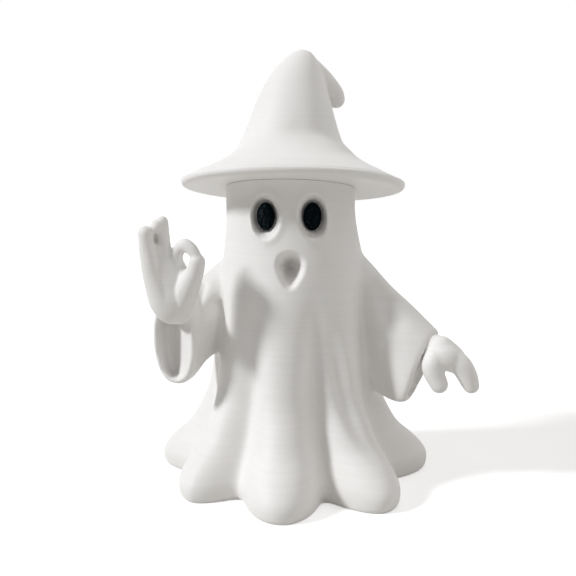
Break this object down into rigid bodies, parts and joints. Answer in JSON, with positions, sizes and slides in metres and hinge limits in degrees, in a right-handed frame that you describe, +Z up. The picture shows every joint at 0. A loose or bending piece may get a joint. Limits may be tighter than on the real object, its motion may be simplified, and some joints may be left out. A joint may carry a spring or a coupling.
{
  "type": "ghost figurine",
  "caption": "Tabletop ghost figurine in a draped robe and wide-brimmed pointed hat, with a round open mouth, one raised hand and one hanging hand.",
  "frame": {"origin": "on the flat bottom of the robe, on the axis of the robe's bell", "axes": "+Z up from the bottom to the hat; the face looks along -Y; +X is toward the figure's own left hand, the one that hangs"},
  "size_m": [0.0911, 0.0808, 0.1214],
  "materials": {
    "matte_white": "matte, with fine level layer lines",
    "gloss_black": "glossy"
  },
  "bodies": {
    "root": {"robe": "matte_white", "hat": "matte_white", "right_hand": "matte_white", "left_hand": "matte_white", "right_eye": "gloss_black", "left_eye": "gloss_black"}
  },
  "joints": []
}
